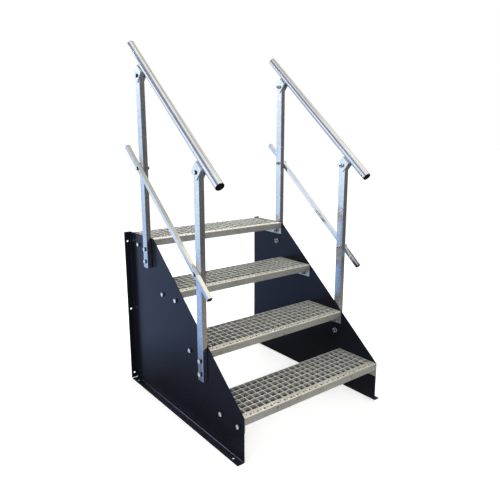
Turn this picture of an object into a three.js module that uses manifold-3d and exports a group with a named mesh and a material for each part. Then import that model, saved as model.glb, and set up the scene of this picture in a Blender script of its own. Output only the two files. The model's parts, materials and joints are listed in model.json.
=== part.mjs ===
// Freestanding stairs: four grating treads between two bent sheet-steel cheeks, with bolted handrails
import * as THREE from 'three';
import { mergeVertices } from 'three/addons/utils/BufferGeometryUtils.js';
import Module from 'manifold-3d';

const wasm = await Module();
wasm.setup();

// Driving dimensions, millimetres. X is the width, +Y goes up the stairs, Z is up.
// Y starts at the front edge of the lowest tread while the pieces are laid out.

// Clearances between pieces that touch, and the overrun of every cut
const seatGap = 0.3;
const boltClearance = 0.5;
const cutOverrun = 4;

// The flight
const treadCount = 4;
const rise = 200;
const going = 235;
const firstTreadTop = 195;
const pitch = Math.atan2(rise, going);

// Grating tread: bearing bars run across the stairs, cross bars run front to back
const cellsAcross = 24;
const cellsDeep = 6;
const treadLength = 800;
const barThickness = 3;
const bearingBarHeight = 30;
const crossBarHeight = 10;
const crossBarThickness = 2.5;
const nosingThickness = 3;
const nosingHeight = 32;
const endPlateThickness = 3;
const endPlateHeight = 65;
const meshPitch = treadLength / cellsAcross;
const nosingWidth = meshPitch;
const treadDepth = nosingWidth + cellsDeep * meshPitch + barThickness / 2;

// Bolts between tread and cheek, the same at each end of a tread
const treadBoltRows = ['front', 'rear'];
const treadBoltSetback = 35;
const treadBoltSpacing = 120;
const treadBoltDrop = 50;

// Cheek, one bent sheet with a flange along the floor and one along the rear edge
const cheekThickness = 3;
const cheekDepth = 955;
const cheekTopMargin = 3;
const cheekBendRadius = 6;
const flangeWidth = 32;
const cornerRelief = 4.5;
const flangeHoleRadius = 5;
const rearHoleEndMargin = 30;
const rearHoleSpacing = 360;
const rearHoleCount = 3;
const floorHoleEndMargin = 50;

// Posts, rectangular tube on the outside of the cheeks
const postWidth = 25;
const postDepth = 40;
const postWall = 2;
const postCornerRadius = 3;
const postLength = 900;
const postEndMargin = 30;
const postBoltSpacing = 60;
const treadsBetweenPosts = 2;
const firstPostTread = 1;
const kneeBoltHeight = 470;
const saddleBoltMargin = 25;

// Handrail with its saddles
const handrailDiameter = 38;
const handrailWall = 2.5;
const handrailLength = 900;
const handrailLowerOverhang = 188;
const saddleWall = 3.5;
const saddleLength = 50;
const saddleBoltDrop = 58;
const saddleEndMargin = 20;
const saddleBendRadius = 5;
const saddlePostGap = 0.5;

// Knee rail, square tube on the outside of the posts
const kneeRailSize = 20;
const kneeRailWall = 2;
const kneeRailLength = 890;
const kneeRailLowerOverhang = 128;

// Plugs in the tube ends
const plugFlange = 3;
const plugDepth = 14;

// Hexagon bolts, one size for treads and posts and one for the rails: shank and head by radius. The
// washer under each nut is part of its height, and the thread end stands out past the nut.
const treadBolt = { shank: 6, head: 10.4, headHeight: 7.5, nutHeight: 10, washer: 2.5, threadEnd: 4 };
const railBolt = { shank: 5, head: 9.2, headHeight: 6.4, nutHeight: 8, washer: 2, threadEnd: 4 };

// Corners closer than the first distance are one, and coplanar facets of a joined piece are merged
// within the second
const weldTolerance = 0.0001;
const mergeTolerance = 0.001;

// Facets of round forms, and the steps in which a drawn arc of a quarter and a full turn is cut
const boltSides = 6;
const openHoleSides = 8;
const railSides = 16;
const cornerSteps = 1;
const circleSteps = railSides / 2;

// Finishes
const finishes = {
  coated: { color: 0x23273a, roughness: 0.35, metalness: 0.1 },
  galvanised: { color: 0xb4b9bd, roughness: 0.45, metalness: 0.85 },
  grating: { color: 0xa3a49d, roughness: 0.55, metalness: 0.8 },
  zinc: { color: 0xc9ccd0, roughness: 0.35, metalness: 0.9 },
  plastic: { color: 0x141416, roughness: 0.5, metalness: 0 },
};

// Places worked out from the driving dimensions
const cheekInnerX = treadLength / 2 + seatGap;
const cheekOuterX = cheekInnerX + cheekThickness;
const postInnerX = cheekOuterX + seatGap;
const postCentreX = postInnerX + postWidth / 2;
const postOuterX = postInnerX + postWidth;
const lastTreadTop = firstTreadTop + (treadCount - 1) * rise;
const cheekHeight = lastTreadTop + cheekTopMargin;
const slopeTopY = (treadCount - 1) * going;
const postSpots = [
  { place: 'front', tread: firstPostTread },
  { place: 'rear', tread: firstPostTread + treadsBetweenPosts },
].map(({ place, tread }) => {
  const y = tread * going + treadBoltSetback;
  const upperBoltZ = firstTreadTop + tread * rise - treadBoltDrop;
  const lowerBoltZ = upperBoltZ - postBoltSpacing;
  return { place, tread, y, lowerBoltZ, bottomZ: lowerBoltZ - postEndMargin };
});
const frontPost = postSpots[0];
const postSlopeSpacing = treadsBetweenPosts * going / Math.cos(pitch);
const sides = [{ side: 'left', sign: -1 }, { side: 'right', sign: 1 }];

// Solids from three.js geometries, and back
function solid(geometry) {
  const bare = geometry.clone();
  bare.deleteAttribute('normal');
  bare.deleteAttribute('uv');
  const merged = mergeVertices(bare, weldTolerance);
  const vertProperties = new Float32Array(merged.attributes.position.array);
  const triVerts = new Uint32Array(merged.index.array);
  return new wasm.Manifold(new wasm.Mesh({ numProp: 3, vertProperties, triVerts }));
}

function geometryOf(body) {
  const { numProp, vertProperties, triVerts } = body.asOriginal().simplify(mergeTolerance).getMesh();
  const points = [];
  for (let i = 0; i < vertProperties.length; i += numProp) points.push(...vertProperties.slice(i, i + 3));
  const geometry = new THREE.BufferGeometry();
  geometry.setAttribute('position', new THREE.Float32BufferAttribute(points, 3));
  geometry.setIndex(Array.from(triVerts));
  const flat = geometry.toNonIndexed();
  flat.computeVertexNormals();
  return flat;
}

function joined(bodies) {
  return bodies.reduce((whole, body) => whole.add(body));
}

function without(body, cutters) {
  return cutters.reduce((rest, cutter) => rest.subtract(cutter), body);
}

// A box between two values on each axis. Its corners take the values themselves, so faces of
// neighbouring boxes lie in exactly one plane.
function box(xs, ys, zs) {
  const geometry = new THREE.BoxGeometry(1, 1, 1);
  const position = geometry.attributes.position;
  for (let i = 0; i < position.count; i += 1) {
    const [x, y, z] = [position.getX(i), position.getY(i), position.getZ(i)];
    position.setXYZ(i, xs[x > 0 ? 1 : 0], ys[y > 0 ? 1 : 0], zs[z > 0 ? 1 : 0]);
  }
  return solid(geometry);
}

// A round hole's cutter along X, flat sides up so that polygons of hole and shank stay parallel
function holeAlongX(radius, x0, x1, y, z) {
  const geometry = new THREE.CylinderGeometry(radius, radius, x1 - x0, boltSides);
  geometry.rotateZ(Math.PI / 2);
  geometry.translate((x0 + x1) / 2, y, z);
  return solid(geometry);
}

function holeAlongY(radius, y0, y1, x, z) {
  const geometry = new THREE.CylinderGeometry(radius, radius, y1 - y0, openHoleSides);
  geometry.translate(x, (y0 + y1) / 2, z);
  return solid(geometry);
}

function holeAlongZ(radius, z0, z1, x, y) {
  const geometry = new THREE.CylinderGeometry(radius, radius, z1 - z0, openHoleSides);
  geometry.rotateX(Math.PI / 2);
  geometry.translate(x, y, (z0 + z1) / 2);
  return solid(geometry);
}

// A solid of revolution round +Y, from radius and height
function turned(profile, sides) {
  const points = profile.map(([radius, height]) => new THREE.Vector2(radius, height));
  return geometryOf(solid(new THREE.LatheGeometry(points, sides)));
}

// Outlines
function outline(points) {
  return new THREE.Shape(points.map(([x, y]) => new THREE.Vector2(x, y)));
}

function roundedRectangle(width, height, radius) {
  const shape = new THREE.Shape();
  const x = width / 2 - radius;
  const y = height / 2 - radius;
  shape.absarc(x, y, radius, 0, Math.PI / 2);
  shape.absarc(-x, y, radius, Math.PI / 2, Math.PI);
  shape.absarc(-x, -y, radius, Math.PI, 1.5 * Math.PI);
  shape.absarc(x, -y, radius, 1.5 * Math.PI, 2 * Math.PI);
  return shape;
}

function extrude(shape, depth, steps = cornerSteps) {
  return new THREE.ExtrudeGeometry(shape, { depth, bevelEnabled: false, curveSegments: steps });
}

// Section of a right-angle bend that starts on the sheet's inner face at the corner (0, 0) and
// turns outwards: the sheet stands along +v and the flange lies along +u.
function bendSection(sheetLength) {
  const shape = new THREE.Shape();
  const r = cheekBendRadius;
  shape.moveTo(0, sheetLength);
  shape.lineTo(0, r);
  shape.absarc(r, r, r, Math.PI, 1.5 * Math.PI, false);
  shape.lineTo(cheekThickness + flangeWidth, 0);
  shape.lineTo(cheekThickness + flangeWidth, cheekThickness);
  shape.lineTo(r, cheekThickness);
  shape.absarc(r, r, r - cheekThickness, 1.5 * Math.PI, Math.PI, true);
  shape.lineTo(cheekThickness, sheetLength);
  return shape;
}

// Cheek of the right-hand side, or its mirror image for the left
function cheek(sign) {
  const sheetEndY = cheekDepth - cheekBendRadius;
  const sheet = outline([
    [0, cheekBendRadius],
    [sheetEndY, cheekBendRadius],
    [sheetEndY, cheekHeight],
    [slopeTopY, cheekHeight],
    [0, firstTreadTop],
  ]);
  const sheetGeometry = extrude(sheet, cheekThickness);
  sheetGeometry.applyMatrix4(new THREE.Matrix4().makeBasis(
    new THREE.Vector3(0, 1, 0), new THREE.Vector3(0, 0, 1), new THREE.Vector3(1, 0, 0)));
  sheetGeometry.translate(cheekInnerX, 0, 0);

  // The floor flange's section lies in X and Z and runs along Y
  const floorBend = extrude(bendSection(2 * cheekBendRadius), sheetEndY - cornerRelief);
  floorBend.rotateX(Math.PI / 2);
  floorBend.translate(cheekInnerX, sheetEndY - cornerRelief, 0);

  // The rear flange's section lies in X and Y and runs along Z
  const rearBend = extrude(bendSection(2 * cheekBendRadius), cheekHeight - cornerRelief);
  rearBend.applyMatrix4(new THREE.Matrix4().makeBasis(
    new THREE.Vector3(1, 0, 0), new THREE.Vector3(0, -1, 0), new THREE.Vector3(0, 0, -1)));
  rearBend.translate(cheekInnerX, cheekDepth, cheekHeight);

  const holeRadius = treadBolt.shank + boltClearance;
  const x0 = cheekInnerX - cutOverrun;
  const x1 = cheekOuterX + cutOverrun;
  const holes = [];
  for (let i = 0; i < treadCount; i += 1) {
    treadBoltRows.forEach((row, j) => {
      const y = i * going + treadBoltSetback + j * treadBoltSpacing;
      holes.push(holeAlongX(holeRadius, x0, x1, y, firstTreadTop + i * rise - treadBoltDrop));
    });
  }
  for (const spot of postSpots) holes.push(holeAlongX(holeRadius, x0, x1, spot.y, spot.lowerBoltZ));

  const flangeHoleX = cheekOuterX + flangeWidth / 2;
  for (let k = 0; k < rearHoleCount; k += 1) {
    holes.push(holeAlongY(flangeHoleRadius, cheekDepth - cheekThickness - cutOverrun,
      cheekDepth + cutOverrun, flangeHoleX, rearHoleEndMargin + k * rearHoleSpacing));
  }
  for (const y of [floorHoleEndMargin, cheekDepth - floorHoleEndMargin]) {
    holes.push(holeAlongZ(flangeHoleRadius, -cutOverrun, cheekThickness + cutOverrun, flangeHoleX, y));
  }
  const body = without(joined([solid(sheetGeometry), solid(floorBend), solid(rearBend)]), holes);
  return sign > 0 ? geometryOf(body) : mirrored(geometryOf(body));
}

// The same geometry on the other side of the YZ plane, with its faces turned to point out again
function mirrored(geometry) {
  const copy = geometry.clone();
  copy.scale(-1, 1, 1);
  const position = copy.attributes.position;
  const corner = new THREE.Vector3();
  const other = new THREE.Vector3();
  for (let i = 0; i < position.count; i += 3) {
    corner.fromBufferAttribute(position, i + 1);
    other.fromBufferAttribute(position, i + 2);
    position.setXYZ(i + 1, other.x, other.y, other.z);
    position.setXYZ(i + 2, corner.x, corner.y, corner.z);
  }
  copy.computeVertexNormals();
  return copy;
}

// One welded tread: bars, nosing and end plates. Its origin is the middle of the nosing's top edge.
function tread() {
  const innerX = treadLength / 2 - endPlateThickness;
  const pieces = [];
  for (let i = 0; i <= cellsDeep; i += 1) {
    const y = nosingWidth + i * meshPitch;
    const ys = [y - barThickness / 2, y + barThickness / 2];
    pieces.push(box([-innerX, innerX], ys, [-bearingBarHeight, 0]));
  }
  for (let i = 1; i < cellsAcross; i += 1) {
    const x = i * meshPitch - treadLength / 2;
    const xs = [x - crossBarThickness / 2, x + crossBarThickness / 2];
    pieces.push(box(xs, [nosingWidth, treadDepth - barThickness / 2], [-crossBarHeight, 0]));
  }
  pieces.push(box([-innerX, innerX], [0, nosingWidth], [-nosingThickness, 0]));
  pieces.push(box([-innerX, innerX], [0, nosingThickness], [-nosingHeight, 0]));
  for (const { sign } of sides) {
    const xs = [sign * innerX, sign * treadLength / 2].sort((a, b) => a - b);
    const plate = box(xs, [0, treadDepth], [-endPlateHeight, 0]);
    const bore = treadBolt.shank + boltClearance;
    const holes = treadBoltRows.map((row, j) => holeAlongX(bore, xs[0] - cutOverrun, xs[1] + cutOverrun,
      treadBoltSetback + j * treadBoltSpacing, -treadBoltDrop));
    pieces.push(without(plate, holes));
  }
  return geometryOf(joined(pieces));
}

// Bolt and nut along +X with the head outboard. The origin is where the head seats, and the
// clamped stack reaches back from there by its grip.
function boltSet({ shank, head, headHeight, nutHeight, washer, threadEnd }, grip) {
  const nutFace = -grip - 2 * seatGap;
  const nutEnd = nutFace - washer - nutHeight;
  const profile = [[0, nutEnd - threadEnd], [shank, nutEnd - threadEnd], [shank, nutEnd],
    [head, nutEnd], [head, nutFace], [shank, nutFace], [shank, 0], [head, 0], [head, headHeight],
    [0, headHeight]];
  return turned(profile, boltSides).rotateZ(-Math.PI / 2);
}

// Post standing on its lower end, its outer face drilled through for the bolts
function post() {
  const section = roundedRectangle(postWidth, postDepth, postCornerRadius);
  section.holes.push(outline([
    [-postWidth / 2 + postWall, -postDepth / 2 + postWall],
    [postWidth / 2 - postWall, -postDepth / 2 + postWall],
    [postWidth / 2 - postWall, postDepth / 2 - postWall],
    [-postWidth / 2 + postWall, postDepth / 2 - postWall],
  ]));
  const tube = solid(extrude(section, postLength));
  const x0 = -postWidth / 2 - cutOverrun;
  const x1 = postWidth / 2 + cutOverrun;
  const holes = [
    holeAlongX(treadBolt.shank + boltClearance, x0, x1, 0, postEndMargin),
    holeAlongX(treadBolt.shank + boltClearance, x0, x1, 0, postEndMargin + postBoltSpacing),
    holeAlongX(railBolt.shank + boltClearance, x0, x1, 0, kneeBoltHeight),
    holeAlongX(railBolt.shank + boltClearance, x0, x1, 0, postLength - saddleBoltMargin),
  ];
  return geometryOf(without(tube, holes));
}

// Round tube along the slope, from z 0 upwards
function handrail() {
  const shape = new THREE.Shape();
  shape.absarc(0, 0, handrailDiameter / 2, 0, 2 * Math.PI);
  const bore = new THREE.Path();
  bore.absarc(0, 0, handrailDiameter / 2 - handrailWall, 0, 2 * Math.PI);
  shape.holes.push(bore);
  return extrude(shape, handrailLength, circleSteps);
}

// Plug for a round tube, its flange facing +Z. The flange seats on the tube's end at z 0.
function roundPlug() {
  const stem = handrailDiameter / 2 - handrailWall - seatGap;
  const rim = handrailDiameter / 2;
  const profile = [[0, -plugDepth], [stem, -plugDepth], [stem, seatGap], [rim, seatGap],
    [rim, plugFlange], [0, plugFlange]];
  return turned(profile, railSides).rotateX(Math.PI / 2);
}

// Saddle welded under the handrail: a folded channel whose two walls straddle the post.
// In its frame +Y points away from the handrail, the origin is on the handrail's axis.
function saddle() {
  const inner = postWidth / 2 + saddlePostGap;
  const outer = inner + saddleWall;
  const top = handrailDiameter / 2 + seatGap;
  const bottom = saddleBoltDrop + saddleEndMargin;
  const r = saddleBendRadius;
  const shape = new THREE.Shape();
  shape.moveTo(outer, bottom);
  shape.lineTo(inner, bottom);
  shape.lineTo(inner, top + saddleWall);
  shape.lineTo(-inner, top + saddleWall);
  shape.lineTo(-inner, bottom);
  shape.lineTo(-outer, bottom);
  shape.lineTo(-outer, top + r);
  shape.absarc(-outer + r, top + r, r, Math.PI, 1.5 * Math.PI);
  shape.lineTo(outer - r, top);
  shape.absarc(outer - r, top + r, r, 1.5 * Math.PI, 2 * Math.PI);
  const geometry = extrude(shape, saddleLength);
  geometry.translate(0, 0, -saddleLength / 2);
  const hole = holeAlongX(railBolt.shank + boltClearance, -outer - cutOverrun, outer + cutOverrun,
    saddleBoltDrop, 0);
  return geometryOf(solid(geometry).subtract(hole));
}

// Square tube along the slope, drilled at both posts
function kneeRail() {
  const outer = kneeRailSize / 2;
  const inner = outer - kneeRailWall;
  const section = outline([[-outer, -outer], [outer, -outer], [outer, outer], [-outer, outer]]);
  section.holes.push(outline([[-inner, -inner], [inner, -inner], [inner, inner], [-inner, inner]]));
  const holes = [0, postSlopeSpacing].map((distance) => holeAlongX(railBolt.shank + boltClearance,
    -outer - cutOverrun, outer + cutOverrun, 0, kneeRailLowerOverhang + distance));
  return geometryOf(without(solid(extrude(section, kneeRailLength)), holes));
}

function squarePlug() {
  const rim = kneeRailSize / 2;
  const stem = rim - kneeRailWall - seatGap;
  return geometryOf(joined([
    box([-rim, rim], [-rim, rim], [seatGap, plugFlange]),
    box([-stem, stem], [-stem, stem], [-plugDepth, plugFlange]),
  ]));
}

// The scene graph
const stairs = new THREE.Group();

function place(parent, name, geometry, finish, position = [0, 0, 0], turn = [0, 0, 0]) {
  const mesh = new THREE.Mesh(geometry, new THREE.MeshStandardMaterial(finishes[finish]));
  mesh.name = name;
  mesh.position.set(...position);
  mesh.rotation.set(...turn);
  parent.add(mesh);
  return mesh;
}

// Heads face outboard: the left side's bolts are turned round
const outboardTurn = (sign) => (sign > 0 ? [0, 0, 0] : [0, 0, Math.PI]);

// A frame whose +Z runs up the slope and whose +Y points down, away from the rails' upper side
function slopeFrame(y, z) {
  const frame = new THREE.Group();
  frame.position.set(0, y, z);
  frame.rotation.x = pitch - Math.PI / 2;
  stairs.add(frame);
  return frame;
}

function addTreads() {
  for (let i = 0; i < treadCount; i += 1) {
    place(stairs, `tread_${i + 1}`, tread(), 'grating', [0, i * going, firstTreadTop + i * rise]);
  }
}

// A tread's front bolt also holds the post where one stands there
function addTreadBolts({ side, sign }) {
  const cheekStack = endPlateThickness + seatGap + cheekThickness;
  for (let i = 0; i < treadCount; i += 1) {
    treadBoltRows.forEach((row, j) => {
      const behindPost = j === 0 && postSpots.some((spot) => spot.tread === i);
      const grip = cheekStack + (behindPost ? seatGap + postWidth : 0);
      const seatX = (behindPost ? postOuterX : cheekOuterX) + seatGap;
      place(stairs, `tread_bolt_${i + 1}_${side}_${row}`, boltSet(treadBolt, grip), 'zinc',
        [sign * seatX, i * going + treadBoltSetback + j * treadBoltSpacing,
          firstTreadTop + i * rise - treadBoltDrop], outboardTurn(sign));
    });
  }
}

function addPosts({ side, sign }) {
  for (const spot of postSpots) {
    const name = `${side}_${spot.place}`;
    place(stairs, `post_${name}`, post(), 'galvanised', [sign * postCentreX, spot.y, spot.bottomZ]);
    place(stairs, `post_bolt_${name}`, boltSet(treadBolt, cheekThickness + seatGap + postWidth), 'zinc',
      [sign * (postOuterX + seatGap), spot.y, spot.lowerBoltZ], outboardTurn(sign));
    const kneeZ = spot.bottomZ + kneeBoltHeight;
    place(stairs, `knee_rail_bolt_${name}`, boltSet(railBolt, postWidth + seatGap + kneeRailSize), 'zinc',
      [sign * (postOuterX + kneeRailSize + 2 * seatGap), spot.y, kneeZ], outboardTurn(sign));
  }
}

function addHandrail({ side, sign }) {
  const saddleBoltZ = frontPost.bottomZ + postLength - saddleBoltMargin;
  const axisZ = saddleBoltZ + saddleBoltDrop / Math.cos(pitch);
  const frame = slopeFrame(frontPost.y, axisZ);
  const x = sign * postCentreX;
  place(frame, `handrail_${side}`, handrail(), 'galvanised', [x, 0, -handrailLowerOverhang]);
  place(frame, `handrail_plug_${side}_lower`, roundPlug(), 'plastic',
    [x, 0, -handrailLowerOverhang], [Math.PI, 0, 0]);
  place(frame, `handrail_plug_${side}_upper`, roundPlug(), 'plastic',
    [x, 0, handrailLength - handrailLowerOverhang]);
  const saddleHalf = postWidth / 2 + saddlePostGap + saddleWall;
  postSpots.forEach((spot, i) => {
    const along = i * postSlopeSpacing - saddleBoltDrop * Math.tan(pitch);
    place(frame, `saddle_${side}_${spot.place}`, saddle(), 'galvanised', [x, 0, along]);
    place(frame, `saddle_bolt_${side}_${spot.place}`, boltSet(railBolt, 2 * saddleHalf), 'zinc',
      [x + sign * (saddleHalf + seatGap), saddleBoltDrop, along], outboardTurn(sign));
  });
}

function addKneeRail({ side, sign }) {
  const frame = slopeFrame(frontPost.y, frontPost.bottomZ + kneeBoltHeight);
  const x = sign * (postOuterX + seatGap + kneeRailSize / 2);
  place(frame, `knee_rail_${side}`, kneeRail(), 'galvanised', [x, 0, -kneeRailLowerOverhang]);
  place(frame, `knee_rail_plug_${side}_lower`, squarePlug(), 'plastic',
    [x, 0, -kneeRailLowerOverhang], [Math.PI, 0, 0]);
  place(frame, `knee_rail_plug_${side}_upper`, squarePlug(), 'plastic',
    [x, 0, kneeRailLength - kneeRailLowerOverhang]);
}

addTreads();
for (const side of sides) {
  place(stairs, `cheek_${side.side}`, cheek(side.sign), 'coated');
  addTreadBolts(side);
  addPosts(side);
  addHandrail(side);
  addKneeRail(side);
}

// The origin is on the floor, in the middle of the space that the stairs take up
stairs.position.y = -cheekDepth / 2;
const model = new THREE.Group();
model.add(stairs);

export default model;
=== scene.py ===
# %% [markdown]
# # Freestanding stairs in steel
#
# Four open grating treads hang between two cheeks, the side plates of the stairs. Rectangular posts
# are bolted to the outside of the cheeks and carry a round handrail and a square knee rail.
#
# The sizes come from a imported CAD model, which is the frame of this scene. Every piece below is made
# again at the same size and place, with the bends, chamfers, welds and washers that the plain CAD
# solids leave out. Loading the frame comes first, because it says where everything is.

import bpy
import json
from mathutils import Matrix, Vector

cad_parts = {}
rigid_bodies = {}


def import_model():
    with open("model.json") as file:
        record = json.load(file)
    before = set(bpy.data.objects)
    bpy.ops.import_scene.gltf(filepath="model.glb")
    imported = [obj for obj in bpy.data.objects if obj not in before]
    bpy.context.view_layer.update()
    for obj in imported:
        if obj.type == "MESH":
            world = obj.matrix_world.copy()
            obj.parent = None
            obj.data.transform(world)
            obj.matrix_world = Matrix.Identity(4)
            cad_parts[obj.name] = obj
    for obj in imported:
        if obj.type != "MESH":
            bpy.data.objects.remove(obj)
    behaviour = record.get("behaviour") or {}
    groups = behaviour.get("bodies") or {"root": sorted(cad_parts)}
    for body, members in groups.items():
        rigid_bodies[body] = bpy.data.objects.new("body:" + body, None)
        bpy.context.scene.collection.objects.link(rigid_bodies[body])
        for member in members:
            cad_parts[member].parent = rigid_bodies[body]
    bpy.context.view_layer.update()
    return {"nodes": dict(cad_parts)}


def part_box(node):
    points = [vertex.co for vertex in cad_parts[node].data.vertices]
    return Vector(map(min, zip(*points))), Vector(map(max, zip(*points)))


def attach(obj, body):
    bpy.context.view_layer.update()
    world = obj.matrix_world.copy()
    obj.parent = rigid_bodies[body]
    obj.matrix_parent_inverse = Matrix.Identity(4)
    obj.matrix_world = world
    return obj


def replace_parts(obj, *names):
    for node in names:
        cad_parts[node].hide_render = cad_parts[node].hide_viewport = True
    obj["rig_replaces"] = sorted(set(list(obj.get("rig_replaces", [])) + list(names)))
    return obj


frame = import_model()
print("CAD nodes:", len(frame["nodes"]))

# %% [markdown]
# ## Sizes
#
# Blender counts in metres, but a workshop drawing of such stairs is in millimetres. Writing each size
# in millimetres times `MM` keeps the numbers easy to compare with the real thing. X runs across the
# stairs, Y goes up them and Z is height. The middle of the stairs' floor space is the origin.

# %% Name the sizes
import math

MM = 0.001
SEAT_GAP = 0.3 * MM
RISE, GOING = 200 * MM, 235 * MM
FIRST_TREAD_TOP = 195 * MM
TREAD_COUNT = 4
PITCH = math.atan2(RISE, GOING)

CHEEK_THICKNESS, CHEEK_DEPTH, CHEEK_OVER_TREAD = 3 * MM, 955 * MM, 3 * MM
CHEEK_HEIGHT = FIRST_TREAD_TOP + (TREAD_COUNT - 1) * RISE + CHEEK_OVER_TREAD
TREAD_LENGTH = 800 * MM
CHEEK_INNER_X = TREAD_LENGTH / 2 + SEAT_GAP
CHEEK_OUTER_X = CHEEK_INNER_X + CHEEK_THICKNESS

POST_WIDTH, POST_DEPTH, POST_LENGTH = 25 * MM, 40 * MM, 900 * MM
POST_CENTRE_X = CHEEK_OUTER_X + SEAT_GAP + POST_WIDTH / 2
POST_OUTER_X = POST_CENTRE_X + POST_WIDTH / 2

SIDES = {"left": -1, "right": 1}
FRONT_Y = -CHEEK_DEPTH / 2
BOLT_SETBACK, BOLT_SPACING, BOLT_DROP = 35 * MM, 120 * MM, 50 * MM
BOLT_ROWS = {"front": BOLT_SETBACK, "rear": BOLT_SETBACK + BOLT_SPACING}
POST_BOLT_SPACING, POST_END_MARGIN = 60 * MM, 30 * MM


def tread_edge(i):
    """Y and Z of a tread's front edge at its top. The lowest tread is number 0."""
    return FRONT_Y + i * GOING, FIRST_TREAD_TOP + i * RISE


def post_spot(tread):
    """Where a post stands that shares a bolt with this tread"""
    y, z = tread_edge(tread)
    lower_bolt = z - BOLT_DROP - POST_BOLT_SPACING
    return {"tread": tread, "y": y + BOLT_SETBACK, "lower_bolt": lower_bolt,
            "bottom": lower_bolt - POST_END_MARGIN}


POSTS = {"front": post_spot(1), "rear": post_spot(3)}
print("Slope of the flight in degrees:", round(math.degrees(PITCH), 2))
print("Post bottoms in mm:", [round(spot["bottom"] / MM) for spot in POSTS.values()])

# %% [markdown]
# ## A short way to write nodes
#
# Materials and Geometry Nodes are both trees of nodes joined by links. Written out call by call, a
# tree gets long and hard to read. `Wire` wraps one output socket, so that sums on it add Math nodes by
# themselves: `1 - mask` or `0.3 + 0.2 * noise` read as they would on paper. All other nodes come from
# `Board.node`, which sets a node's options first and fills its sockets after that. A socket is named
# by its label, or by its number where a node has two of one name.

# %% Wrap sockets and node trees
import bpy


def maths(operation, reflected=False):
    """A method that adds a Math node. A reflected one takes the wire as its second number."""
    def method(self, other):
        pair = (other, self) if reflected else (self, other)
        return self.board.node("ShaderNodeMath", dict(enumerate(pair)), operation=operation)
    return method


class Wire:
    """One output socket, which sums on it extend with Math nodes"""
    __add__ = __radd__ = maths("ADD")
    __mul__ = __rmul__ = maths("MULTIPLY")
    __sub__, __rsub__ = maths("SUBTRACT"), maths("SUBTRACT", reflected=True)
    __mod__ = maths("FLOORED_MODULO")

    def __init__(self, board, socket):
        self.board, self.socket = board, socket


class Board:
    """A node tree with one method that adds any node"""

    def __init__(self, tree):
        self.tree = tree

    def fill(self, node, sockets):
        """Gives each socket its value or wire, or a list of wires if it takes several"""
        for name, value in sockets.items():
            for one in value if isinstance(value, list) else [value]:
                if isinstance(one, Wire):
                    self.tree.links.new(one.socket, node.inputs[name])
                else:
                    node.inputs[name].default_value = one

    def node(self, kind, sockets=None, output=0, **settings):
        made = self.tree.nodes.new(kind)
        for name, value in settings.items():
            if name == "stops":
                ramp = made.color_ramp.elements
                ramp.remove(ramp[1])
                ramp[0].position, ramp[0].color = value[0][0], (*value[0][1], 1)
                for place, colour in value[1:]:
                    ramp.new(place).color = (*colour, 1)
            else:
                setattr(made, name, value)
        self.fill(made, sockets or {})
        return Wire(self, made.outputs[output])


print("Wire and Board are ready")

# %% [markdown]
# ## Finishes
#
# Powder coat, four kinds of bath zinc, the treads' with painted highlight and shade, the walls of
# punched holes darkened as painted shade, bright zinc, oily steel that also paints shade on the bolts'
# flats, and black plastic cover the stairs. Each is a Principled shader whose colour and roughness vary
# a little over the surface, because no real coat of zinc or powder is even. The patterns read Object
# coordinates: every piece keeps its object at the origin, so they are plain metres, and a pattern has
# the same grain on every piece. A finish also knows its slot, the name that the record has for it.

# %% A base for every finish
class Finish(Board):
    """A material with one Principled shader"""

    def __init__(self, name, slot=None):
        self.material, self.slot = bpy.data.materials.new(name), slot
        self.material.use_nodes = True
        super().__init__(self.material.node_tree)
        self.shader = self.tree.nodes["Principled BSDF"]
        self.place = self.node("ShaderNodeTexCoord", output="Object")

    def feed(self, **values):
        """Fills the shader's sockets, named with _ for a space"""
        self.fill(self.shader, {name.replace("_", " "): value for name, value in values.items()})

    def show(self, surface):
        """Shows this wire in place of the Principled shader"""
        self.fill(self.tree.nodes["Material Output"], {"Surface": surface})

    def vector(self, operation, *values, output=0):
        return self.node("ShaderNodeVectorMath", dict(enumerate(values)), output, operation=operation)

    def height(self):
        return self.node("ShaderNodeSeparateXYZ", {"Vector": self.place}, "Z")

    def steps(self, value, low, high):
        """0 below low, 1 above high, and even between"""
        return self.node("ShaderNodeMapRange", {"Value": value, "From Min": low, "From Max": high})

    def noise(self, scale, detail=2.0):
        return self.node("ShaderNodeTexNoise", {"Vector": self.place, "Scale": scale, "Detail": detail})

    def cloud(self, scale, detail=2.0, spread=0.2):
        """Noise with the middle of its range stretched to run from 0 to 1"""
        return self.steps(self.noise(scale, detail), 0.5 - spread, 0.5 + spread)

    def blend(self, factor, first, second):
        """A colour between two, each given as three numbers or as a wire"""
        first, second = (end if isinstance(end, Wire) else (*end, 1) for end in (first, second))
        return self.node("ShaderNodeMix", {0: factor, 6: first, 7: second}, output=2, data_type="RGBA")

    def raised(self, height, strength, distance):
        return self.node("ShaderNodeBump", {"Height": height, "Strength": strength, "Distance": distance})


print("Finish is ready")

# %% [markdown]
# The cheeks have a powder coat: dark blue-grey, satin, with the faint orange peel that powder leaves
# when it melts. It could be a flat colour with one roughness, but then a large sheet looks like
# plastic. A slow noise shifts the colour and the gloss, and a fine one makes the peel. The specular
# level is low, because this coat hardly mirrors the pale room round it.

# %% Powder coat
coat = Finish("powder_coat", "coated")
coat.feed(Base_Color=coat.blend(coat.cloud(3.2, 3.0), (0.0094, 0.0100, 0.0158), (0.0120, 0.0128, 0.0208)),
          Roughness=0.20 + 0.06 * coat.cloud(3.2, 3.0, spread=0.25),
          Normal=coat.raised(coat.noise(520.0, 1.0), 0.12, 0.2 * MM),
          Specular_IOR_Level=0.24, Specular_Tint=(0.80, 0.82, 1.0, 1.0))
print("Made", coat.material.name)

# %% [markdown]
# Posts, rails and saddles are hot-dip galvanised. Molten zinc sets in flat crystals, the spangle, and
# each one mirrors a little differently. Voronoi cells of about 8 mm stand in for the crystals, with
# their straight edges bent by noise. They only nudge brightness and roughness, since modern zinc
# baths leave a faint pattern. The rails look smoother than the posts in the photograph, so their zinc
# has more gloss and less grit.

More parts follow.
